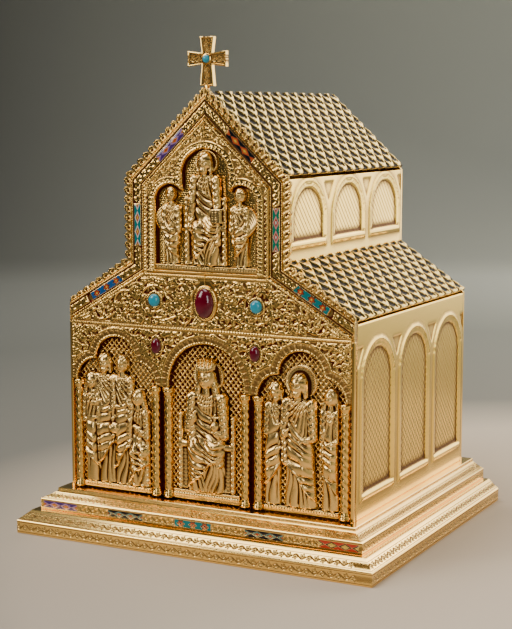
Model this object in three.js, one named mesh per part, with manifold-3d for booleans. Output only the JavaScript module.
// Altar tabernacle in the form of a small aisled church. Millimetres, +Z up, front towards -Y.
// The origin is the centre of the underside.
import * as THREE from 'three';
import { mergeVertices } from 'three/addons/utils/BufferGeometryUtils.js';
import Module from 'manifold-3d';

const wasm = await Module();
wasm.setup();

// Fits
const GAP = 0.3;
const DOOR_CLEARANCE = 0.5;
const DOOR_FLOOR_GAP = 2.2;

// Plinth
const BASE_WIDTH = 470;
const BASE_DEPTH = 421;
const SLAB_EDGE_HEIGHT = 16.6;
const SLAB_BEVEL_HEIGHT = 11.1;
const SLAB_BEVEL_RUN = 13.2;
const FRIEZE_SETBACK = 21.1;
const FRIEZE_HEIGHT = 13.6;
const FRIEZE_BEVEL_HEIGHT = 8;
const FRIEZE_BEVEL_RUN = 15.2;
const STEP_HEIGHT = 3.7;

// Cabinet
const BODY_SIDE_MARGIN = 46.4;
const NAVE_WIDTH = 198.8;
const BODY_FRONT_MARGIN = 52.5;
const BODY_BACK_MARGIN = 16.1;
const AISLE_WALL_HEIGHT = 228.6;
const AISLE_ROOF_RISE = 58.8;
const CLERESTORY_HEIGHT = 99.5;
const NAVE_ROOF_RISE = 91.8;
const WALL = 4;
const ROOF_THICKNESS = 4;
const EAVE_OVERHANG = 0.6;

// Roof tiles
const TILE_COLUMNS = 14;
const TILE_ROW_PITCH = 12.2;
const TILE_LIFT = 1.8;

// Blind arches of the walls
const ARCHES_PER_WALL = 3;
const ARCH_GAP = 12.5;
const ARCH_WALL_MARGIN = 9;
const AISLE_ARCH_FOOT = 18.5;
const AISLE_ARCH_TOP_MARGIN = 26;
const NAVE_ARCH_FOOT = 12.5;
const NAVE_ARCH_TOP_MARGIN = 6;
const ARCH_BEAD_WIDTH = 3.2;
const ARCH_BEAD_HEIGHT = 1.2;
const ARCH_FIELD_INSET = 11;
const ARCH_FIELD_DEPTH = 1.2;
const ARCH_SEGMENTS = 6;
const FACET_HALF_WIDTH = 15;
const FACET_HEIGHT = 24.6;
const FACET_TOP_MARGIN = 5.5;

// Door frame and its band
const FRAME_DEPTH = 9;
const JAMB_WIDTH = 2.6;
const BAND_WIDTH = 16.5;
const FILLET_WIDTH = 2.4;
const FILLET_HEIGHT = 1;
const FRAME_RIDGE_DROP = 5.7;
const FRAME_KNEE_DROP = 8.7;
const FRAME_FOOT_DROP = 7.4;
const FRAME_END_DROP = 1.5;

// Enamel plates
const ENAMEL_LENGTH = 50;
const ENAMEL_WIDTH = 9.6;
const ENAMEL_THICKNESS = 1.4;
const ENAMEL_SINK = 1.2;
const FRIEZE_ENAMELS = 5;
const FRIEZE_ENAMEL_END_MARGIN = 3.4;

// Cresting
const CREST_WIDTH = 9.5;
const CREST_DEPTH = 3.5;
const CREST_SETBACK = 1.8;
const CREST_PITCH = 10.5;
const CREST_NOTCH = 3;
const CREST_LOBE_SEGMENTS = 2;

// Cross
const CROSS_HEIGHT = 55.5;
const CROSS_SPAN = 49.5;
const CROSS_THICKNESS = 7;
const CROSS_WAIST = 13.6;
const CROSS_FLARE = 17.8;
const CROSS_CENTRE = 30.5;
const CROSS_BORDER = 2;
const CROSS_RELIEF = 0.8;
const CROSS_TANG_THICKNESS = 2.7;

// Door leaves
const LEAF_BACK_THICKNESS = 3.5;
const ARCADE_THICKNESS = 5;
const ROPE_WIDTH = 2.6;
const ROPE_HEIGHT = 1.2;
const ROPE_INSET = 2;
const ARCADE_TOP_DROP = 23.9;
const ARCADE_CROWN_MARGIN = 4;
const BAND_TOP_DROP = 18.2;
const PAIR_CENTRE = 60;
const ROUND_ARCH_RADIUS = 49.5;
const ROUND_ARCH_STILT = 5;
const TREFOIL_SIDE_RADIUS = 26.8;
const ARCHIVOLT_WIDTH = 12;
const ARCHIVOLT_HEIGHT = 1.4;
const DOOR_SWING_SLACK = 0.15;
const EDGE_IMPOST = 7.4;

// Gable niche
const GABLE_NICHE_RADIUS = 31.5;
const GABLE_SPRING_DROP = 3.7;
const GABLE_SIDE_RADIUS = 20.2;
const GABLE_SIDE_CENTRE = 47;
const GABLE_SIDE_SPRING_DROP = 33.7;
const GABLE_NICHE_FOOT = 4;
const GABLE_ARCHIVOLT_WIDTH = 9;

// Colonnettes
const SHAFT_RADIUS = 5.2;
const CAPITAL_RADIUS = 7.6;
const CAPITAL_HEIGHT = 10;
const COLUMN_BASE_RADIUS = 7.2;
const COLUMN_BASE_HEIGHT = 8;
const COLUMN_SPACING = 17;
const COLUMN_AXIS_DEPTH = 2.4;
const COLUMN_SIDES = 8;

// Stones
const BIG_STONE_HALF_WIDTH = 12.6;
const BIG_STONE_HALF_HEIGHT = 17.8;
const BIG_STONE_RISE = 6;
const BEZEL_WIDTH = 3;
const BEZEL_HEIGHT = 2.4;
const BEZEL_FLOOR = 0.8;
const TURQUOISE_RADIUS = 7.6;
const TURQUOISE_RISE = 3.6;
const TURQUOISE_X = 67.5;
const SMALL_STONE_HALF_WIDTH = 6.6;
const SMALL_STONE_HALF_HEIGHT = 9.2;
const SMALL_STONE_RISE = 3.2;
const SMALL_STONE_DROP = 22;
const CROSS_STONE_RADIUS = 4.6;
const CROSS_STONE_RISE = 2.6;
const STONE_SEGMENTS = 10;
const STONE_RINGS = 3;
const BOSS_BORDER = 2.4;
const BOSS_HEIGHT = 1.8;

// Leaf ornament
const BLADE_HEIGHT = 1.6;
const BLADE_SINK = 0.1;
const SCROLL_PAIRS = 7;
const SCROLL_START = 24;
const SCROLL_END_MARGIN = 66;
const SCROLL_DROP = 11;
const SCROLL_BLADE_LENGTH = 17;
const SCROLL_BLADE_WIDTH = 6;
const SCROLL_TAPER = 0.35;
const SPRAY_BLADE_LENGTH = 13;
const SPRAY_BLADE_WIDTH = 4.5;
const SPRAY_SIDE = 14;
const SPRAY_DROP = 5;
const CORNER_SPRAY_INSET = 6;
const CORNER_SPRAY_DROP = 8;

// Relief figures: heights as shares of the height of their niche up to its spring, and the half width of a
// niche as a share of that height at which its figures keep their natural width
const CENTRE_FIGURE_SHARE = 1.22;
const GABLE_FIGURE_SHARE = 1.3;
const ATTENDANT_SHARE = 1.17;
const CENTRE_PROPORTION = 0.3333;
const TREFOIL_PROPORTION = 0.417;
const PLEATS = 3;
const PLEAT_SHARE = 0.72;
const LIMB_SIDES = 4;
const HEAD_SIDES = 6;
const HEAD_RINGS = 4;
const HALO_RADIUS = 20;
const HALO_THICKNESS = 1.4;
const STRIP_HEIGHT = 7;
const STRIP_DEPTH = 6;
const STRIP_SINK = 1;
const CENTRE_STRIP_HEIGHT = 11.5;

// Levels and planes worked out from the sizes
const Z_SLAB = SLAB_EDGE_HEIGHT + SLAB_BEVEL_HEIGHT;
const Z_FRIEZE = Z_SLAB + FRIEZE_HEIGHT;
const Z_PLINTH = Z_FRIEZE + FRIEZE_BEVEL_HEIGHT;
const Z_FLOOR = Z_PLINTH + STEP_HEIGHT;
const STEP_SETBACK = FRIEZE_SETBACK + FRIEZE_BEVEL_RUN;
const BODY_HALF = BASE_WIDTH / 2 - BODY_SIDE_MARGIN;
const NAVE_HALF = NAVE_WIDTH / 2;
const FRONT_Y = -BASE_DEPTH / 2 + BODY_FRONT_MARGIN;
const BACK_Y = BASE_DEPTH / 2 - BODY_BACK_MARGIN;
const Z_AISLE_EAVE = Z_FLOOR + AISLE_WALL_HEIGHT;
const Z_AISLE_TOP = Z_AISLE_EAVE + AISLE_ROOF_RISE;
const Z_NAVE_EAVE = Z_AISLE_TOP + CLERESTORY_HEIGHT;
const Z_RIDGE = Z_NAVE_EAVE + NAVE_ROOF_RISE;
const FRAME_BACK_Y = FRONT_Y + FRAME_DEPTH;
const WALL_FRONT_Y = FRAME_BACK_Y + GAP;
const WALL_BACK_Y = BACK_Y - WALL - GAP;
const LEAF_BACK_Y = FRAME_BACK_Y;
const GROUND_Y = LEAF_BACK_Y - LEAF_BACK_THICKNESS;
const ARCADE_Y = GROUND_Y - ARCADE_THICKNESS;
const MOUNT_Y = GROUND_Y - GAP;
const Z_LEAF = Z_FLOOR + DOOR_FLOOR_GAP;
const Z_ARCADE_TOP = Z_AISLE_EAVE - ARCADE_TOP_DROP;
const ROUND_ARCH_RISE = ROUND_ARCH_STILT + ROUND_ARCH_RADIUS + ARCHIVOLT_WIDTH;
const Z_IMPOST = Z_ARCADE_TOP - ARCADE_CROWN_MARGIN - ROUND_ARCH_RISE;
const Z_BAND_TOP = Z_AISLE_TOP - BAND_TOP_DROP;

const gold = { color: 0xd9a94e, roughness: 0.28, metalness: 1 };
const paleGold = { color: 0xdcc085, roughness: 0.3, metalness: 1 };
const garnet = { color: 0x4a0714, roughness: 0.08, metalness: 0 };
const turquoise = { color: 0x1c93b4, roughness: 0.3, metalness: 0 };
const enamel = { color: 0x2b6f74, roughness: 0.25, metalness: 0 };

const tabernacle = new THREE.Group();

// Put a finished geometry into the model under its name.
function addPiece(name, geometry, look) {
  const piece = new THREE.Mesh(geometry, new THREE.MeshStandardMaterial(look));
  piece.name = name;
  tabernacle.add(piece);
}

// Solid for joining and cutting from a closed geometry.
function toSolid(geometry) {
  const bare = geometry.clone();
  bare.deleteAttribute('normal');
  bare.deleteAttribute('uv');
  const merged = mergeVertices(bare, 1e-4);
  const vertProperties = new Float32Array(merged.attributes.position.array);
  const triVerts = new Uint32Array(merged.index.array);
  return new wasm.Manifold(new wasm.Mesh({ numProp: 3, vertProperties, triVerts }));
}

function toGeometry(solid) {
  const mesh = solid.getMesh();
  const geometry = new THREE.BufferGeometry();
  geometry.setAttribute('position', new THREE.BufferAttribute(new Float32Array(mesh.vertProperties), 3));
  geometry.setIndex(new THREE.BufferAttribute(new Uint32Array(mesh.triVerts), 1));
  geometry.computeVertexNormals();
  return geometry;
}

function join(solids) {
  return solids.reduce((sum, solid) => sum.add(solid));
}

// Mirror image of a geometry in the plane x = 0, with its faces still outward.
function mirrored(geometry) {
  const copy = geometry.index ? geometry.clone() : mergeVertices(geometry.clone());
  copy.scale(-1, 1, 1);
  const index = copy.index.array;
  for (let i = 0; i < index.length; i += 3) {
    const kept = index[i];
    index[i] = index[i + 1];
    index[i + 1] = kept;
  }
  copy.computeVertexNormals();
  return copy;
}

function shapeOf(points) {
  return new THREE.Shape(points.map(([a, b]) => new THREE.Vector2(a, b)));
}

// Prism of an outline in x and z, between two values of y.
function prismXZ(points, yFront, yBack) {
  const geometry = new THREE.ExtrudeGeometry(shapeOf(points), { depth: yBack - yFront, bevelEnabled: false });
  geometry.rotateX(Math.PI / 2);
  geometry.translate(0, yBack, 0);
  return toSolid(geometry);
}

// Prism of an outline in y and z, between two values of x.
function prismYZ(points, xLow, xHigh) {
  const geometry = new THREE.ExtrudeGeometry(shapeOf(points), { depth: xHigh - xLow, bevelEnabled: false });
  const turn = new THREE.Matrix4().makeBasis(
    new THREE.Vector3(0, 1, 0),
    new THREE.Vector3(0, 0, 1),
    new THREE.Vector3(1, 0, 0),
  );
  geometry.applyMatrix4(turn);
  geometry.translate(xLow, 0, 0);
  return toSolid(geometry);
}

function box(xLow, xHigh, yLow, yHigh, zLow, zHigh) {
  const geometry = new THREE.BoxGeometry(xHigh - xLow, yHigh - yLow, zHigh - zLow);
  geometry.translate((xLow + xHigh) / 2, (yLow + yHigh) / 2, (zLow + zHigh) / 2);
  return toSolid(geometry);
}

// Points of an arc from one angle to another, both ends included.
function arcPoints(centreA, centreB, radius, from, to, segments) {
  const points = [];
  for (let i = 0; i <= segments; i += 1) {
    const angle = from + ((to - from) * i) / segments;
    points.push([centreA + radius * Math.cos(angle), centreB + radius * Math.sin(angle)]);
  }
  return points;
}

// Outline of a round-headed arch, grown on every side but the foot by grow.
function archOutline(centre, halfWidth, foot, spring, grow = 0, segments = ARCH_SEGMENTS) {
  const radius = halfWidth + grow;
  const head = arcPoints(centre, spring, radius, 0, Math.PI, segments);
  return [[centre - radius, foot], [centre + radius, foot], ...head];
}

// Outline of a trefoil arch: two side lobes and a centre lobe that starts where they end.
function trefoilOutline(centre, halfWidth, foot, spring, grow = 0) {
  const side = TREFOIL_SIDE_RADIUS + grow;
  const reach = halfWidth - TREFOIL_SIDE_RADIUS;
  const middle = reach + grow;
  const shoulder = spring + TREFOIL_SIDE_RADIUS;
  const quarter = Math.PI / 2;
  const meet = grow > 0 ? Math.acos(Math.min(1, grow / (2 * side))) : quarter;
  const right = arcPoints(centre + reach, spring, side, 0, Math.min(quarter, meet), 4);
  const top = arcPoints(centre, shoulder, middle, 0, Math.PI, ARCH_SEGMENTS);
  const left = arcPoints(centre - reach, spring, side, Math.PI - Math.min(quarter, meet), Math.PI, 4);
  const keptTop = top.filter(([, b]) => b > right[right.length - 1][1] + GAP);
  return [[centre - reach - side, foot], [centre + reach + side, foot], ...right, ...keptTop, ...left];
}

// Outline moved inward edge by edge; distances holds one value for each edge.
function insetOutline(points, distances) {
  const count = points.length;
  const lines = points.map(([a, b], i) => {
    const [c, d] = points[(i + 1) % count];
    const length = Math.hypot(c - a, d - b);
    const normal = [-(d - b) / length, (c - a) / length];
    return {
      a: a + normal[0] * distances[i],
      b: b + normal[1] * distances[i],
      u: (c - a) / length,
      v: (d - b) / length,
    };
  });
  return points.map((unused, i) => {
    const before = lines[(i + count - 1) % count];
    const after = lines[i];
    const cross = before.u * after.v - before.v * after.u;
    const t = ((after.a - before.a) * after.v - (after.b - before.b) * after.u) / cross;
    return [before.a + before.u * t, before.b + before.v * t];
  });
}

// Plinth
// Stack of rectangles set back on three sides; the back stays flat.
function mouldedSlab(levels) {
  const positions = [];
  const index = [];
  const back = BASE_DEPTH / 2;
  levels.forEach(([z, setback]) => {
    const half = BASE_WIDTH / 2 - setback;
    const front = -BASE_DEPTH / 2 + setback;
    positions.push(-half, front, z, half, front, z, half, back, z, -half, back, z);
  });
  for (let level = 0; level + 1 < levels.length; level += 1) {
    for (let side = 0; side < 4; side += 1) {
      const a = level * 4 + side;
      const b = level * 4 + ((side + 1) % 4);
      index.push(a, b, b + 4, a, b + 4, a + 4);
    }
  }
  const top = (levels.length - 1) * 4;
  index.push(0, 2, 1, 0, 3, 2, top, top + 1, top + 2, top, top + 2, top + 3);
  const geometry = new THREE.BufferGeometry();
  geometry.setAttribute('position', new THREE.BufferAttribute(new Float32Array(positions), 3));
  geometry.setIndex(index);
  geometry.computeVertexNormals();
  return geometry;
}

addPiece('base_slab', mouldedSlab([[0, 0], [SLAB_EDGE_HEIGHT, 0], [Z_SLAB, SLAB_BEVEL_RUN]]), paleGold);

const friezeFrontY = -BASE_DEPTH / 2 + FRIEZE_SETBACK;
const friezeEnamelReach = BASE_WIDTH / 2 - FRIEZE_SETBACK - FRIEZE_ENAMEL_END_MARGIN - ENAMEL_LENGTH / 2;
const friezeEnamelZ = Z_SLAB + FRIEZE_HEIGHT / 2;
const friezeEnamelXs = [];
for (let i = 0; i < FRIEZE_ENAMELS; i += 1) {
  friezeEnamelXs.push(friezeEnamelReach * ((2 * i) / (FRIEZE_ENAMELS - 1) - 1));
}
const pocketHalf = ENAMEL_LENGTH / 2 + GAP;
const pocketRise = ENAMEL_WIDTH / 2 + GAP;
let frieze = toSolid(
  mouldedSlab([[Z_SLAB, FRIEZE_SETBACK], [Z_FRIEZE, FRIEZE_SETBACK], [Z_PLINTH, STEP_SETBACK]]),
);
friezeEnamelXs.forEach((x) => {
  const low = friezeEnamelZ - pocketRise;
  const high = friezeEnamelZ + pocketRise;
  const floorY = friezeFrontY + ENAMEL_SINK + GAP;
  frieze = frieze.subtract(box(x - pocketHalf, x + pocketHalf, friezeFrontY - 1, floorY, low, high));
});
addPiece('plinth_frieze', toGeometry(frieze), paleGold);
friezeEnamelXs.forEach((x, i) => {
  const plate = new THREE.BoxGeometry(ENAMEL_LENGTH, ENAMEL_THICKNESS, ENAMEL_WIDTH);
  plate.translate(x, friezeFrontY + ENAMEL_SINK - ENAMEL_THICKNESS / 2, friezeEnamelZ);
  addPiece(`frieze_enamel_${i + 1}`, plate, enamel);
});

addPiece('top_step', mouldedSlab([[Z_PLINTH, STEP_SETBACK], [Z_FLOOR, STEP_SETBACK]]), paleGold);

// Roof slopes seen from the front: a point at the top, a point at the eave, and how far the slab hangs below.
function slopeLine(xTop, zTop, xEave, zEave) {
  const run = xEave - xTop;
  const drop = zTop - zEave;
  const length = Math.hypot(run, drop);
  return { xTop, zTop, run, drop, length, upright: (ROOF_THICKNESS * length) / run };
}

const aisleSlope = slopeLine(NAVE_HALF, Z_AISLE_TOP, BODY_HALF, Z_AISLE_EAVE);
const naveSlope = slopeLine(0, Z_RIDGE, NAVE_HALF, Z_NAVE_EAVE);

// Height of the underside of a roof over a place x, less the fitting gap.
function under(slope, x) {
  return slope.zTop - ((x - slope.xTop) * slope.drop) / slope.run - slope.upright - GAP;
}

// Walls with blind arches
// Raised bead, sunk field and sunk V facets of one wall, on the face x = face.
function arcadedWall(profile, face, foot, top) {
  let wall = prismXZ(profile, WALL_FRONT_Y, WALL_BACK_Y);
  const start = WALL_FRONT_Y + ARCH_WALL_MARGIN - GAP;
  const pitch = (BACK_Y - ARCH_WALL_MARGIN - start + ARCH_GAP) / ARCHES_PER_WALL;
  const half = (pitch - ARCH_GAP) / 2;
  const spring = top - half;
  const raise = [face - ARCH_BEAD_HEIGHT, face + ARCH_BEAD_HEIGHT];
  const sink = [face - ARCH_FIELD_DEPTH, face + ARCH_FIELD_DEPTH];
  for (let i = 0; i < ARCHES_PER_WALL; i += 1) {
    const centre = start + half + i * pitch;
    const outer = prismYZ(archOutline(centre, half, foot, spring), ...raise);
    const innerOutline = archOutline(centre, half, foot + ARCH_BEAD_WIDTH, spring, -ARCH_BEAD_WIDTH);
    const inner = prismYZ(innerOutline, ...raise);
    const fieldFoot = foot + ARCH_FIELD_INSET - ARCH_BEAD_WIDTH;
    const field = prismYZ(archOutline(centre, half, fieldFoot, spring, -ARCH_FIELD_INSET), ...sink);
    wall = wall.add(outer.subtract(inner)).subtract(field);
  }
  const facetTop = top - FACET_TOP_MARGIN;
  for (let i = 0; i <= ARCHES_PER_WALL; i += 1) {
    const middle = start - ARCH_GAP / 2 + i * pitch;
    const left = i > 0 ? middle - FACET_HALF_WIDTH : middle;
    const right = i < ARCHES_PER_WALL ? middle + FACET_HALF_WIDTH : middle;
    const facet = [[middle, facetTop - FACET_HEIGHT], [right, facetTop], [left, facetTop]];
    wall = wall.subtract(prismYZ(facet, ...sink));
  }
  return toGeometry(wall);
}

const aisleInner = BODY_HALF - WALL;
const aisleWall = arcadedWall(
  [
    [aisleInner, Z_FLOOR],
    [BODY_HALF, Z_FLOOR],
    [BODY_HALF, under(aisleSlope, BODY_HALF)],
    [aisleInner, under(aisleSlope, aisleInner)],
  ],
  BODY_HALF,
  Z_FLOOR + AISLE_ARCH_FOOT,
  Z_AISLE_EAVE - AISLE_ARCH_TOP_MARGIN,
);
addPiece('right_aisle_wall', aisleWall, paleGold);
addPiece('left_aisle_wall', mirrored(aisleWall), paleGold);

const naveInner = NAVE_HALF - WALL;
const naveWallFoot = Z_AISLE_TOP - aisleSlope.upright - WALL;
const naveWall = arcadedWall(
  [
    [naveInner, naveWallFoot],
    [NAVE_HALF, naveWallFoot],
    [NAVE_HALF, under(naveSlope, NAVE_HALF)],
    [naveInner, under(naveSlope, naveInner)],
  ],
  NAVE_HALF,
  Z_AISLE_TOP + NAVE_ARCH_FOOT,
  Z_NAVE_EAVE - NAVE_ARCH_TOP_MARGIN,
);
addPiece('right_nave_wall', naveWall, paleGold);
addPiece('left_nave_wall', mirrored(naveWall), paleGold);

const aisleJoin = NAVE_HALF + GAP;
const backRight = [
  [BODY_HALF, Z_FLOOR],
  [BODY_HALF, under(aisleSlope, BODY_HALF)],
  [aisleJoin, under(aisleSlope, aisleJoin)],
  [aisleJoin - GAP, under(aisleSlope, aisleJoin)],
  [NAVE_HALF, under(naveSlope, NAVE_HALF)],
];
const backOutline = [...backRight, [0, under(naveSlope, 0)], ...backRight.map(([x, z]) => [-x, z]).reverse()];
addPiece('back_wall', toGeometry(prismXZ(backOutline, BACK_Y - WALL, BACK_Y)), paleGold);

// Scale-tiled roofs
// Slab in its own frame: depth along +X, down the slope along +Y, outward along +Z. The tiles stand on
// staggered rows; each lifts to a tip over the next row, and two small upright faces close it.
function scaleSlab(depth, rows, pitch) {
  const positions = [];
  const index = [];
  const columnPitch = depth / TILE_COLUMNS;
  const addVertex = (x, y, z) => positions.push(x, y, z) / 3 - 1;
  const low = [];
  const tip = [];
  for (let row = 0; row <= rows; row += 1) {
    const atEnds = row % 2 === 1;
    const places = atEnds ? [] : [0];
    const first = atEnds ? 0 : 0.5;
    for (let column = first; column <= TILE_COLUMNS; column += 1) {
      places.push(column);
    }
    if (!atEnds) {
      places.push(TILE_COLUMNS);
    }
    low.push(places.map((place) => addVertex(place * columnPitch, row * pitch, 0)));
    tip.push(places.map((place, i) => {
      const stands = row > 0 && (atEnds || (i > 0 && i < places.length - 1));
      return stands ? addVertex(place * columnPitch, row * pitch, TILE_LIFT) : -1;
    }));
  }
  const base = low.map((vertices) => vertices.map((v) => (
    addVertex(positions[v * 3], positions[v * 3 + 1], -ROOF_THICKNESS)
  )));
  for (let row = 0; row < rows; row += 1) {
    const upper = low[row];
    const lower = low[row + 1];
    const tips = tip[row + 1];
    const lastLower = lower.length - 1;
    if (row % 2 === 0) {
      // The upper row has its end places; tips of the row below stand between its inner places.
      for (let i = 0; i < lower.length; i += 1) {
        const left = upper[i];
        const right = upper[i + 1];
        index.push(left, tips[i], right);
        if (i > 0) {
          index.push(left, lower[i], tips[i]);
          index.push(left, lower[i - 1], lower[i]);
        }
        if (i < lastLower) {
          index.push(right, tips[i], lower[i]);
        }
      }
      index.push(upper[0], lower[0], tips[0]);
      index.push(upper[upper.length - 1], tips[lastLower], lower[lastLower]);
    } else {
      for (let i = 0; i + 1 < upper.length; i += 1) {
        const below = i + 1;
        index.push(upper[i], tips[below], upper[i + 1]);
        index.push(upper[i], lower[below], tips[below]);
        index.push(upper[i + 1], tips[below], lower[below]);
      }
      for (let i = 0; i < upper.length; i += 1) {
        index.push(upper[i], lower[i], lower[i + 1]);
      }
    }
    const upperEnd = upper.length - 1;
    index.push(upper[0], base[row][0], lower[0], lower[0], base[row][0], base[row + 1][0]);
    index.push(upper[upperEnd], lower[lastLower], base[row][upperEnd]);
    index.push(lower[lastLower], base[row + 1][lastLower], base[row][upperEnd]);
  }
  const centre = addVertex(depth / 2, (rows * pitch) / 2, -ROOF_THICKNESS);
  const rim = [...base[0]];
  for (let row = 1; row < rows; row += 1) {
    rim.push(base[row][base[row].length - 1]);
  }
  rim.push(...[...base[rows]].reverse());
  for (let row = rows - 1; row > 0; row -= 1) {
    rim.push(base[row][0]);
  }
  rim.forEach((vertex, i) => index.push(centre, vertex, rim[(i + 1) % rim.length]));
  for (let i = 0; i + 1 < low[0].length; i += 1) {
    index.push(low[0][i], low[0][i + 1], base[0][i], low[0][i + 1], base[0][i + 1], base[0][i]);
  }
  const last = low[rows];
  for (let i = 0; i + 1 < last.length; i += 1) {
    index.push(last[i], base[rows][i], last[i + 1], last[i + 1], base[rows][i], base[rows][i + 1]);
  }
  const geometry = new THREE.BufferGeometry();
  geometry.setAttribute('position', new THREE.BufferAttribute(new Float32Array(positions), 3));
  geometry.setIndex(index);
  return geometry;
}

// One roof on the right-hand side: the tiled slab laid on its slope and cut upright at both edges.
function tiledRoof(slope, xLow, xHigh) {
  const depth = BACK_Y - WALL_FRONT_Y;
  const rows = Math.ceil((slope.length + 2 * ROOF_THICKNESS) / TILE_ROW_PITCH);
  const slab = scaleSlab(depth, rows, TILE_ROW_PITCH);
  const down = new THREE.Vector3(slope.run, 0, -slope.drop).normalize();
  const out = new THREE.Vector3(slope.drop, 0, slope.run).normalize();
  const place = new THREE.Matrix4().makeBasis(new THREE.Vector3(0, 1, 0), down, out);
  place.setPosition(slope.xTop, WALL_FRONT_Y, slope.zTop);
  slab.applyMatrix4(place);
  const room = box(xLow, xHigh, WALL_FRONT_Y - 1, BACK_Y + 1, Z_FLOOR, Z_RIDGE + BASE_WIDTH);
  return toGeometry(toSolid(slab).intersect(room));
}

const aisleRoof = tiledRoof(aisleSlope, NAVE_HALF + GAP, BODY_HALF + EAVE_OVERHANG);
addPiece('right_aisle_roof', aisleRoof, gold);
addPiece('left_aisle_roof', mirrored(aisleRoof), gold);
const naveRoof = tiledRoof(naveSlope, GAP / 2, NAVE_HALF + EAVE_OVERHANG);
addPiece('right_nave_roof', naveRoof, gold);
addPiece('left_nave_roof', mirrored(naveRoof), gold);

// Door frame: the gabled band, open at the foot
const frameEnd = [BODY_HALF, Z_AISLE_EAVE - FRAME_END_DROP];
const frameFoot = [NAVE_HALF, Z_AISLE_TOP - FRAME_FOOT_DROP];
const frameKnee = [NAVE_HALF, Z_NAVE_EAVE - FRAME_KNEE_DROP];
const frameApex = [0, Z_RIDGE - FRAME_RIDGE_DROP];
const mirrorPoint = ([x, z]) => [-x, z];
const frameOutline = [
  [BODY_HALF, Z_FLOOR],
  frameEnd,
  frameFoot,
  frameKnee,
  frameApex,
  mirrorPoint(frameKnee),
  mirrorPoint(frameFoot),
  mirrorPoint(frameEnd),
  [-BODY_HALF, Z_FLOOR],
];

// The frame outline moved inward: jambs by their own width, the band by band, the foot not at all.
function insideFrame(jamb, band) {
  return insetOutline(frameOutline, [jamb, band, band, band, band, band, band, jamb, 0]);
}

const openingOutline = insideFrame(JAMB_WIDTH, BAND_WIDTH);
// Outline with both its end points set to the height low.
const lowerEnds = (points, low) => points.map(([x, z], i) => (
  i === 0 || i === points.length - 1 ? [x, low] : [x, z]
));
const frameFaceY = FRONT_Y + FILLET_HEIGHT;
const fullFrame = prismXZ(frameOutline, FRONT_Y, FRAME_BACK_Y);
const opening = prismXZ(lowerEnds(openingOutline, Z_FLOOR - 1), FRONT_Y - 1, FRAME_BACK_Y + 1);
const channelOuter = lowerEnds(insideFrame(FILLET_WIDTH, FILLET_WIDTH), Z_AISLE_EAVE - BAND_WIDTH * 2);
const channelInner = lowerEnds(insideFrame(JAMB_WIDTH - GAP, BAND_WIDTH - FILLET_WIDTH), Z_FLOOR - 1);
const channel = prismXZ(channelOuter, FRONT_Y - 1, frameFaceY).subtract(
  prismXZ(channelInner, FRONT_Y - 2, frameFaceY + 1),
);
let frame = fullFrame.subtract(opening).subtract(channel);

// Enamel plates at the middle of each straight run of the band
const centreLine = insideFrame(BAND_WIDTH / 2, BAND_WIDTH / 2);
const bandNames = ['right_aisle', 'right_nave', 'right_gable', 'left_gable', 'left_nave', 'left_aisle'];
bandNames.forEach((bandName, i) => {
  const [ax, az] = centreLine[i + 1];
  const [bx, bz] = centreLine[i + 2];
  const angle = Math.atan2(bz - az, bx - ax);
  const placePlate = (length, depth, width, y) => {
    const plate = new THREE.BoxGeometry(length, depth, width);
    plate.rotateY(-angle);
    plate.translate((ax + bx) / 2, y, (az + bz) / 2);
    return plate;
  };
  const pocketDepth = ENAMEL_SINK + GAP;
  const pocket = placePlate(ENAMEL_LENGTH + 2 * GAP, pocketDepth * 2, ENAMEL_WIDTH + 2 * GAP, frameFaceY);
  frame = frame.subtract(toSolid(pocket));
  const plateY = frameFaceY + ENAMEL_SINK - ENAMEL_THICKNESS / 2;
  const plate = placePlate(ENAMEL_LENGTH, ENAMEL_THICKNESS, ENAMEL_WIDTH, plateY);
  addPiece(`band_enamel_${bandName}`, plate, enamel);
});
addPiece('door_frame', toGeometry(frame), gold);

// Cresting: a scalloped strip that stands on the outer edge of the frame
const crestFrontY = FRONT_Y + CREST_SETBACK;
const crestBackY = crestFrontY + CREST_DEPTH;
function crestOutline() {
  const reach = -GAP - CREST_WIDTH + CREST_NOTCH;
  const inner = insideFrame(-GAP, -GAP).slice(1, 8);
  const outer = insideFrame(reach, reach).slice(1, 8);
  outer[0] = [inner[0][0], outer[0][1]];
  outer[6] = [inner[6][0], outer[6][1]];
  const edge = [];
  for (let run = 0; run < 6; run += 1) {
    const [ax, az] = outer[run];
    const [bx, bz] = outer[run + 1];
    const length = Math.hypot(bx - ax, bz - az);
    const lobes = Math.max(1, Math.round(length / CREST_PITCH));
    const normal = [(bz - az) / length, -(bx - ax) / length];
    for (let lobe = 0; lobe < lobes; lobe += 1) {
      for (let step = 0; step < CREST_LOBE_SEGMENTS; step += 1) {
        const along = (lobe + step / CREST_LOBE_SEGMENTS) / lobes;
        const swell = CREST_NOTCH * Math.sin((Math.PI * step) / CREST_LOBE_SEGMENTS);
        const x = ax + (bx - ax) * along + normal[0] * swell;
        const z = az + (bz - az) * along + normal[1] * swell;
        edge.push([x, z]);
      }
    }
  }
  edge.push(outer[6]);
  return [...edge, ...inner.reverse()];
}
const crestPoints = crestOutline();
addPiece('openwork_cresting', toGeometry(prismXZ(crestPoints, crestFrontY, crestBackY)), gold);

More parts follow.
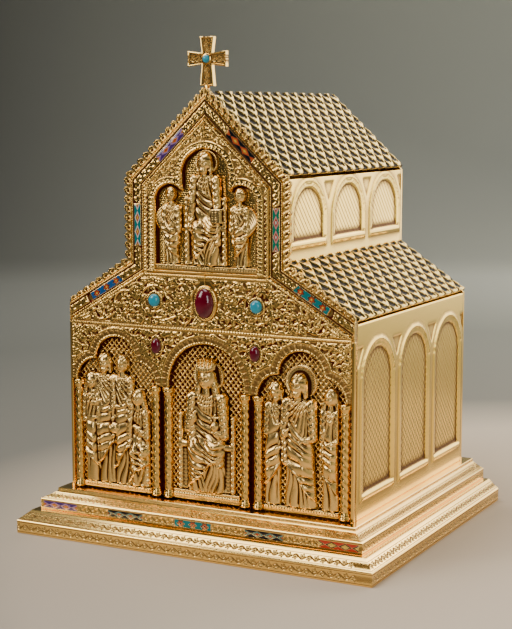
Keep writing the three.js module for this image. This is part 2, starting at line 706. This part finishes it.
// Cross: four arms that flare to their ends, on a thin tang that stands on the frame
const crossFootZ = frameApex[1] + CREST_WIDTH + CREST_NOTCH;
const crossCentreZ = crossFootZ + CROSS_CENTRE;
const crossTopZ = crossFootZ + CROSS_HEIGHT;
function crossOutline(inset) {
  const span = CROSS_SPAN / 2 - inset;
  const waist = CROSS_WAIST / 2 - inset;
  const flare = CROSS_FLARE / 2 - inset;
  const top = crossTopZ - inset - crossCentreZ;
  const foot = crossFootZ + inset - crossCentreZ;
  const neck = waist + CROSS_BORDER;
  const upper = [[flare, top], [waist, neck], [waist, waist], [neck, waist], [span, flare]];
  const lower = [[span, -flare], [neck, -waist], [waist, -waist], [waist, -neck], [flare, foot]];
  const right = [...upper, ...lower];
  const left = right.map(mirrorPoint).reverse();
  return [...right, ...left].map(([x, z]) => [x, z + crossCentreZ]);
}
const crossFrontY = crestBackY + GAP;
const tangBackY = crossFrontY + CROSS_TANG_THICKNESS;
const crossBlank = prismXZ(crossOutline(0), crossFrontY, crossFrontY + CROSS_THICKNESS);
const crossSunk = prismXZ(crossOutline(CROSS_BORDER), crossFrontY - 1, crossFrontY + CROSS_RELIEF);
const waistHalf = CROSS_WAIST / 2;
const crossBoss = new THREE.CylinderGeometry(waistHalf, waistHalf, 2 * CROSS_RELIEF, STONE_SEGMENTS);
crossBoss.translate(0, crossFrontY + CROSS_RELIEF, crossCentreZ);
const tangFootZ = frameApex[1] + GAP;
const tang = box(-waistHalf, waistHalf, crossFrontY, tangBackY, tangFootZ, crossFootZ + 1);
const cross = crossBlank.subtract(crossSunk).add(toSolid(crossBoss)).add(tang);
addPiece('gable_cross', toGeometry(cross), gold);

// Cabochon: a low dome with a flat back on the plane y = backY.
function cabochon(x, z, halfWidth, halfHeight, rise, backY) {
  const profile = [[0, 0]];
  for (let ring = 0; ring <= STONE_RINGS; ring += 1) {
    const angle = (Math.PI / 2) * (ring / STONE_RINGS);
    profile.push([Math.cos(angle), Math.sin(angle)]);
  }
  profile[profile.length - 1][0] = 0;
  const points = profile.map(([radius, height]) => new THREE.Vector2(radius, height));
  const dome = new THREE.LatheGeometry(points, STONE_SEGMENTS);
  dome.rotateX(Math.PI);
  dome.scale(halfWidth, rise, halfHeight);
  const solid = mergeVertices(dome.deleteAttribute('normal').deleteAttribute('uv'));
  solid.translate(x, backY, z);
  return solid;
}

addPiece(
  'cross_turquoise',
  cabochon(0, crossCentreZ, CROSS_STONE_RADIUS, CROSS_STONE_RADIUS, CROSS_STONE_RISE, crossFrontY - GAP),
  turquoise,
);

// Door leaves
const doorOuterX = BODY_HALF - JAMB_WIDTH;
const seamHalf = (FRAME_DEPTH * FRAME_DEPTH) / (2 * doorOuterX) + DOOR_SWING_SLACK;
const leafOutline = lowerEnds(insideFrame(JAMB_WIDTH + DOOR_CLEARANCE, BAND_WIDTH + DOOR_CLEARANCE), Z_LEAF);
const rightHalf = box(seamHalf, BODY_HALF, FRONT_Y - CROSS_SPAN, BACK_Y, 0, Z_RIDGE);
const nicheLeft = PAIR_CENTRE + COLUMN_SPACING / 2;
const nicheRight = doorOuterX - EDGE_IMPOST;
const trefoilCentre = (nicheLeft + nicheRight) / 2;
const trefoilHalf = (nicheRight - nicheLeft) / 2;
const gableFoot = Z_BAND_TOP + GABLE_NICHE_FOOT;
const gableSpring = Z_NAVE_EAVE - GABLE_SPRING_DROP;
const gableSideSpring = Z_NAVE_EAVE - GABLE_SIDE_SPRING_DROP;
const bandStoneZ = (Z_ARCADE_TOP + Z_BAND_TOP) / 2;
const smallStoneX = PAIR_CENTRE + COLUMN_SPACING / 3;
const smallStoneZ = Z_ARCADE_TOP - SMALL_STONE_DROP;

// Widened by grow: the three gable niche arches, the centre arch and the right trefoil.
function nicheSolids(grow, yLow, yHigh) {
  const gableGrow = Math.min(grow, GABLE_ARCHIVOLT_WIDTH);
  const gableMiddle = archOutline(0, GABLE_NICHE_RADIUS, gableFoot, gableSpring, gableGrow);
  const gableSides = [-GABLE_SIDE_CENTRE, GABLE_SIDE_CENTRE].map((x) => (
    archOutline(x, GABLE_SIDE_RADIUS, gableFoot, gableSideSpring, gableGrow)
  ));
  const gable = join([gableMiddle, ...gableSides].map((outline) => prismXZ(outline, yLow, yHigh)));
  const centre = prismXZ(
    archOutline(0, ROUND_ARCH_RADIUS, Z_IMPOST - (grow ? 0 : 1), Z_IMPOST + ROUND_ARCH_STILT, grow),
    yLow,
    yHigh,
  );
  const right = prismXZ(
    trefoilOutline(trefoilCentre, trefoilHalf, Z_IMPOST - (grow ? 0 : 1), Z_IMPOST, grow),
    yLow,
    yHigh,
  );
  return join([gable, centre, right]);
}

// Raised leaf blade: a low four-sided pyramid that points away from its stem.
function blade(x, z, angle, length, width) {
  const cone = new THREE.ConeGeometry(1, 1, 4);
  cone.rotateX(Math.PI / 2);
  cone.scale(length / 2, width / 2, 1);
  cone.translate(length / 2, 0, 0.5);
  const leaf = cone.clone();
  leaf.rotateX(Math.PI / 2);
  leaf.scale(1, BLADE_HEIGHT, 1);
  leaf.rotateY(-angle);
  leaf.translate(x, ARCADE_Y + BLADE_SINK, z);
  return toSolid(leaf);
}

// Sprays of blades: along the scroll of the band, and in the spandrels of the arcade.
function foliage() {
  const leaves = [];
  const reach = doorOuterX - SCROLL_END_MARGIN - SCROLL_START;
  for (let i = 0; i < SCROLL_PAIRS; i += 1) {
    const along = i / (SCROLL_PAIRS - 1);
    const x = SCROLL_START + reach * along;
    const z = bandStoneZ - along * SCROLL_DROP;
    const length = SCROLL_BLADE_LENGTH * (1 - SCROLL_TAPER * along);
    [0.95, -0.85].forEach((angle) => leaves.push(blade(x, z, angle, length, SCROLL_BLADE_WIDTH)));
  }
  const sprays = [
    { x: PAIR_CENTRE + SPRAY_SIDE, z: Z_ARCADE_TOP - SPRAY_DROP, angle: -0.25 },
    { x: PAIR_CENTRE - SPRAY_SIDE, z: Z_ARCADE_TOP - SPRAY_DROP, angle: Math.PI + 0.25 },
    { x: doorOuterX - CORNER_SPRAY_INSET, z: Z_ARCADE_TOP - CORNER_SPRAY_DROP, angle: Math.PI + 0.5 },
  ];
  sprays.forEach(({ x, z, angle }) => [-0.5, 0, 0.5].forEach((turn) => {
    leaves.push(blade(x, z, angle + turn, SPRAY_BLADE_LENGTH, SPRAY_BLADE_WIDTH));
  }));
  return leaves;
}

// Ropes: straight raised bars, three-sided in section, between two points of the leaf face.
function rope(ax, az, bx, bz) {
  const length = Math.hypot(bx - ax, bz - az);
  const half = ROPE_WIDTH / 2;
  const crown = half / 2;
  const section = shapeOf([[-half, GAP], [half, GAP], [crown, -ROPE_HEIGHT], [-crown, -ROPE_HEIGHT]]);
  const bar = new THREE.ExtrudeGeometry(section, { depth: length, bevelEnabled: false });
  const along = new THREE.Vector3((bx - ax) / length, 0, (bz - az) / length);
  const out = new THREE.Vector3(0, 1, 0);
  const across = new THREE.Vector3().crossVectors(out, along);
  bar.applyMatrix4(new THREE.Matrix4().makeBasis(across, out, along));
  bar.translate(ax, ARCADE_Y, az);
  return toSolid(bar);
}

// Round or oval seat for a stone, raised over the ornament round it.
function boss(x, z, halfWidth, halfHeight) {
  const ring = arcPoints(0, 0, 1, 0, 2 * Math.PI, STONE_SEGMENTS).slice(1);
  const reachX = halfWidth + BOSS_BORDER;
  const reachZ = halfHeight + BOSS_BORDER;
  const outline = ring.map(([a, b]) => [x + a * reachX, z + b * reachZ]);
  return prismXZ(outline, ARCADE_Y - BOSS_HEIGHT, GROUND_Y);
}

function rightLeaf() {
  const face = prismXZ(leafOutline, ARCADE_Y, GROUND_Y);
  const above = box(-BASE_WIDTH, BASE_WIDTH, FRONT_Y - CROSS_SPAN, BACK_Y, Z_IMPOST, Z_RIDGE);
  const plate = prismXZ(leafOutline, GROUND_Y, LEAF_BACK_Y);
  const scrollFoot = Z_ARCADE_TOP - ROPE_WIDTH;
  const scrollBand = box(-BASE_WIDTH, BASE_WIDTH, FRONT_Y - CROSS_SPAN, BACK_Y, scrollFoot, gableFoot);
  const mouldings = nicheSolids(ARCHIVOLT_WIDTH, ARCADE_Y - ARCHIVOLT_HEIGHT, GROUND_Y)
    .intersect(prismXZ(leafOutline, ARCADE_Y - ARCHIVOLT_HEIGHT * 2, GROUND_Y))
    .intersect(above)
    .subtract(scrollBand);
  const ropeMargin = DOOR_CLEARANCE + ROPE_INSET;
  const ropeLine = insideFrame(JAMB_WIDTH + ropeMargin, BAND_WIDTH + ropeMargin);
  const ropeEnd = ropeLine[1];
  const ropes = [
    rope(-ROPE_WIDTH, Z_ARCADE_TOP, ropeEnd[0], Z_ARCADE_TOP),
    rope(-ROPE_WIDTH, Z_BAND_TOP, ropeLine[2][0] - ROPE_WIDTH, Z_BAND_TOP),
    rope(...ropeLine[1], ...ropeLine[2]),
    rope(...ropeLine[2], ...ropeLine[3]),
    rope(...ropeLine[3], ...ropeLine[4]),
  ];
  const cut = nicheSolids(0, FRONT_Y - CROSS_SPAN, GROUND_Y);
  const bosses = [
    boss(TURQUOISE_X, bandStoneZ, TURQUOISE_RADIUS, TURQUOISE_RADIUS),
    boss(smallStoneX, smallStoneZ, SMALL_STONE_HALF_WIDTH, SMALL_STONE_HALF_HEIGHT),
  ];
  const front = join([face, mouldings, ...ropes, ...foliage(), ...bosses]).subtract(cut).intersect(above);
  return plate.add(front).intersect(rightHalf);
}

const leafSolid = rightLeaf();
const leafGeometry = toGeometry(leafSolid);
addPiece('right_door_leaf', leafGeometry, gold);
addPiece('left_door_leaf', mirrored(leafGeometry), gold);

// Colonnettes: half-round shafts on moulded feet under their capitals
function colonnette(x) {
  const height = Z_IMPOST - GAP - Z_LEAF;
  const profile = [
    [0, 0],
    [COLUMN_BASE_RADIUS, 0],
    [COLUMN_BASE_RADIUS, COLUMN_BASE_HEIGHT / 2],
    [SHAFT_RADIUS, COLUMN_BASE_HEIGHT],
    [SHAFT_RADIUS, height - CAPITAL_HEIGHT],
    [CAPITAL_RADIUS, height - CAPITAL_HEIGHT / 3],
    [CAPITAL_RADIUS, height],
    [0, height],
  ];
  const turned = new THREE.LatheGeometry(profile.map(([r, z]) => new THREE.Vector2(r, z)), COLUMN_SIDES);
  turned.rotateX(Math.PI / 2);
  turned.translate(x, GROUND_Y - COLUMN_AXIS_DEPTH, Z_LEAF);
  const room = box(x - BODY_HALF, x + BODY_HALF, FRONT_Y - CROSS_SPAN, MOUNT_Y, 0, Z_RIDGE);
  return toGeometry(toSolid(turned).intersect(room));
}

const outerColumnX = doorOuterX - DOOR_CLEARANCE - CAPITAL_RADIUS - GAP;
const columnPlaces = [
  ['inner', PAIR_CENTRE - COLUMN_SPACING / 2],
  ['middle', PAIR_CENTRE + COLUMN_SPACING / 2],
  ['outer', outerColumnX],
];
columnPlaces.forEach(([place, x]) => {
  const column = colonnette(x);
  addPiece(`right_colonnette_${place}`, column, gold);
  addPiece(`left_colonnette_${place}`, mirrored(column), gold);
});

// Stones of the doors
// Prism of the large stone's oval, widened by grow.
function ovalRing(grow, yFront, yBack) {
  const ring = arcPoints(0, 0, 1, 0, 2 * Math.PI, STONE_SEGMENTS * 2).slice(1);
  const reachX = BIG_STONE_HALF_WIDTH + grow;
  const reachZ = BIG_STONE_HALF_HEIGHT + grow;
  return prismXZ(ring.map(([a, b]) => [a * reachX, b * reachZ + bandStoneZ]), yFront, yBack);
}

const bezelBackY = ARCADE_Y - GAP;
const bezelFloorY = bezelBackY - BEZEL_FLOOR;
const bezel = ovalRing(BEZEL_WIDTH, bezelBackY - BEZEL_HEIGHT, bezelBackY)
  .subtract(ovalRing(GAP, bezelBackY - BEZEL_HEIGHT * 2, bezelFloorY));
addPiece('oval_bezel', toGeometry(bezel), gold);
addPiece(
  'large_garnet',
  cabochon(0, bandStoneZ, BIG_STONE_HALF_WIDTH, BIG_STONE_HALF_HEIGHT, BIG_STONE_RISE, bezelFloorY - GAP),
  garnet,
);
const seatY = ARCADE_Y - BOSS_HEIGHT - GAP;
const bandTurquoise = cabochon(
  TURQUOISE_X,
  bandStoneZ,
  TURQUOISE_RADIUS,
  TURQUOISE_RADIUS,
  TURQUOISE_RISE,
  seatY,
);
const smallGarnet = cabochon(
  smallStoneX,
  smallStoneZ,
  SMALL_STONE_HALF_WIDTH,
  SMALL_STONE_HALF_HEIGHT,
  SMALL_STONE_RISE,
  seatY,
);
addPiece('right_turquoise', bandTurquoise, turquoise);
addPiece('left_turquoise', mirrored(bandTurquoise), turquoise);
addPiece('right_small_garnet', smallGarnet, garnet);
addPiece('left_small_garnet', mirrored(smallGarnet), garnet);

// Relief figures
// Draped body: half-round rings with a pleated front, from hem to neck. A station is a height, a centre,
// a half width and a depth, all as shares of the figure's height, which scale gives.
function drapedBody(stations, scale) {
  const positions = [];
  const index = [];
  const last = 2 * PLEATS;
  const ring = last + 2;
  stations.forEach(([height, centre, halfWidth, depth]) => {
    positions.push(centre * scale, 0, height * scale);
    for (let i = 0; i <= last; i += 1) {
      const angle = (Math.PI * i) / last;
      const fold = i % 2 === 1 ? 1 : PLEAT_SHARE;
      const out = Math.sin(angle) * fold;
      positions.push((centre - halfWidth * Math.cos(angle)) * scale, -depth * out * scale, height * scale);
    }
  });
  for (let station = 0; station + 1 < stations.length; station += 1) {
    for (let i = 0; i < ring; i += 1) {
      const a = station * ring + i;
      const b = station * ring + ((i + 1) % ring);
      index.push(a, b, b + ring, a, b + ring, a + ring);
    }
  }
  const top = (stations.length - 1) * ring;
  for (let i = 1; i <= last; i += 1) {
    index.push(0, i + 1, i, top, top + i, top + i + 1);
  }
  const geometry = new THREE.BufferGeometry();
  geometry.setAttribute('position', new THREE.BufferAttribute(new Float32Array(positions), 3));
  geometry.setIndex(index);
  return geometry;
}

// Tapered limb between two points [x, y, z] of shares, from a thick to a thin end.
function limb(from, to, thick, thin, scale) {
  const start = new THREE.Vector3(...from).multiplyScalar(scale);
  const end = new THREE.Vector3(...to).multiplyScalar(scale);
  const along = end.clone().sub(start);
  const tube = new THREE.CylinderGeometry(thin * scale, thick * scale, along.length(), LIMB_SIDES);
  const upright = new THREE.Vector3(0, 1, 0);
  tube.applyQuaternion(new THREE.Quaternion().setFromUnitVectors(upright, along.normalize()));
  const middle = start.add(end).multiplyScalar(0.5);
  return tube.translate(middle.x, middle.y, middle.z);
}

function head(x, y, z, halfWidth, halfHeight, scale) {
  const ball = new THREE.SphereGeometry(scale, HEAD_SIDES, HEAD_RINGS);
  ball.rotateX(Math.PI / 2);
  ball.scale(halfWidth, halfWidth, halfHeight);
  return ball.translate(x * scale, y * scale, z * scale);
}

// Standing figure, one unit being its height: how stout it is, how far the head leans and the hands reach.
function standingFigure({ height, girth, lean, hands }) {
  const body = [
    [0, 0, 0.15 * girth, 0.06],
    [0.15, 0, 0.125 * girth, 0.066],
    [0.6, lean * 0.5, 0.11 * girth, 0.07],
    [0.76, lean * 0.8, 0.13 * girth, 0.066],
    [0.88, lean, 0.04, 0.045],
  ];
  const shoulder = 0.1 * girth;
  const elbow = lean * 0.8 + hands;
  return [
    drapedBody(body, height),
    head(lean, -0.035, 0.93, 0.048, 0.068, height),
    limb([lean * 0.8 - shoulder, -0.04, 0.78], [elbow - 0.02, -0.075, 0.66], 0.036, 0.024, height),
    limb([lean * 0.8 + shoulder, -0.04, 0.78], [elbow + 0.02, -0.075, 0.67], 0.036, 0.024, height),
  ];
}

// Seated figure with both knees forward, on a throne block, one hand raised and one on the knee.
function seatedFigure({ height, girth, throne }) {
  const body = [
    [0.02, 0, 0.19 * girth, 0.06],
    [0.38, 0, 0.19 * girth, 0.095],
    [0.45, 0, 0.19 * girth, 0.085],
    [0.52, 0, 0.12 * girth, 0.06],
    [0.72, 0, 0.14 * girth, 0.058],
    [0.81, 0, 0.045, 0.045],
  ];
  const seat = new THREE.BoxGeometry(2 * throne * height, 0.04 * height, 0.46 * height);
  seat.translate(0, -0.02 * height, 0.23 * height);
  const elbow = 0.16 * girth;
  return [
    drapedBody(body, height),
    seat,
    head(0, -0.035, 0.86, 0.056, 0.082, height),
    limb([-elbow * 0.75, -0.04, 0.72], [-elbow, -0.07, 0.52], 0.036, 0.03, height),
    limb([-elbow, -0.07, 0.52], [-elbow * 0.6, -0.085, 0.62], 0.03, 0.02, height),
    limb([elbow * 0.75, -0.04, 0.72], [elbow, -0.07, 0.54], 0.036, 0.03, height),
    limb([elbow, -0.07, 0.54], [elbow * 0.6, -0.09, 0.47], 0.03, 0.02, height),
  ];
}

function halo(height) {
  const plate = new THREE.CylinderGeometry(HALO_RADIUS, HALO_RADIUS, HALO_THICKNESS, STONE_SEGMENTS);
  return plate.translate(0, -HALO_THICKNESS / 2, height);
}

// One relief: figures side by side on a low strip, kept between xLow and xHigh and flat on the niche's
// ground. Each figure's widths are multiplied by stretch.
function relief(name, placed, xLow, xHigh, foot, top, stretch) {
  const strip = box(xLow, xHigh, -STRIP_DEPTH, 0, foot, top);
  const room = box(xLow, xHigh, -BODY_HALF, 0, foot, Z_RIDGE);
  const solids = placed.flatMap(({ parts, x }) => parts.map((part) => (
    toSolid(part.clone().scale(stretch, 1, 1).translate(x, 0, top - STRIP_SINK))
  )));
  const geometry = toGeometry(join([strip, ...solids]).intersect(room));
  geometry.translate(0, MOUNT_Y, 0);
  addPiece(name, geometry, gold);
}

const archHeight = Z_IMPOST - Z_LEAF;
const reliefFoot = Z_LEAF + GAP;
const columnRoom = COLUMN_BASE_RADIUS + GAP;
const centreFigure = CENTRE_FIGURE_SHARE * archHeight;
const centreReach = PAIR_CENTRE - COLUMN_SPACING / 2 - columnRoom;
const centreStretch = centreReach / (CENTRE_PROPORTION * archHeight);
relief(
  'centre_seated_figure',
  [
    { parts: seatedFigure({ height: centreFigure, girth: 1, throne: 0.23 }), x: 0 },
    { parts: [halo(0.87 * centreFigure)], x: 0 },
  ],
  -centreReach,
  centreReach,
  reliefFoot,
  Z_LEAF + CENTRE_STRIP_HEIGHT,
  centreStretch,
);

// The groups of the trefoil niches; places are shares of the half width of a niche, from its middle.
const rightGroup = [
  { place: -0.05, share: 1.19, girth: 1.1, lean: 0.02, hands: -0.1 },
  { place: -0.64, share: 1.1, girth: 0.62, lean: 0.02, hands: 0.06 },
  { place: 0.66, share: 1.07, girth: 0.62, lean: 0, hands: -0.03 },
];
const leftGroup = [
  { place: -0.3, share: 1.23, girth: 0.75, lean: 0, hands: 0.04 },
  { place: 0.12, share: 1.21, girth: 0.75, lean: 0.02, hands: 0.06 },
  { place: -0.62, share: 1.03, girth: 0.7, lean: -0.02, hands: 0.08 },
];
const kneeling = { place: 0.56, share: 0.98, girth: 0.75, throne: 0.1 };
const placeFigure = (figure, middle, make) => ({
  parts: make({ ...figure, height: figure.share * archHeight }),
  x: middle + figure.place * trefoilHalf,
});
const nicheFrom = nicheLeft + columnRoom;
const nicheTo = outerColumnX - columnRoom;
const stripTop = Z_LEAF + STRIP_HEIGHT;
const nicheStretch = trefoilHalf / (TREFOIL_PROPORTION * archHeight);
const centralFigure = rightGroup[0];
const haloPlace = {
  parts: [halo(0.93 * centralFigure.share * archHeight)],
  x: trefoilCentre + centralFigure.place * trefoilHalf,
};
const rightPlaced = rightGroup.map((figure) => placeFigure(figure, trefoilCentre, standingFigure));
const rightReliefs = [...rightPlaced, haloPlace];
relief('right_niche_group', rightReliefs, nicheFrom, nicheTo, reliefFoot, stripTop, nicheStretch);
const leftPlaced = leftGroup.map((figure) => placeFigure(figure, -trefoilCentre, standingFigure));
const kneelingPlaced = placeFigure(kneeling, -trefoilCentre, seatedFigure);
const leftReliefs = [...leftPlaced, kneelingPlaced];
relief('left_niche_group', leftReliefs, -nicheTo, -nicheFrom, reliefFoot, stripTop, nicheStretch);

const gableReach = GABLE_NICHE_RADIUS - 2 * GAP;
const gableTop = gableFoot + STRIP_HEIGHT;
const gableFigure = seatedFigure({
  height: GABLE_FIGURE_SHARE * (gableSpring - gableFoot),
  girth: 1,
  throne: 0.18,
});
const gablePlaced = [{ parts: gableFigure, x: 0 }];
relief('gable_seated_figure', gablePlaced, -gableReach, gableReach, gableFoot + GAP, gableTop, 1);
const attendant = standingFigure({
  height: ATTENDANT_SHARE * (gableSideSpring - gableFoot),
  girth: 1,
  lean: 0,
  hands: 0,
});
const attendantTo = GABLE_SIDE_CENTRE + GABLE_SIDE_RADIUS - GAP;
relief(
  'gable_right_attendant',
  [{ parts: attendant, x: GABLE_SIDE_CENTRE }],
  gableReach + GAP,
  attendantTo,
  gableFoot + GAP,
  gableTop,
  1,
);
relief(
  'gable_left_attendant',
  [{ parts: attendant, x: -GABLE_SIDE_CENTRE }],
  -attendantTo,
  -gableReach - GAP,
  gableFoot + GAP,
  gableTop,
  1,
);

export default tabernacle;
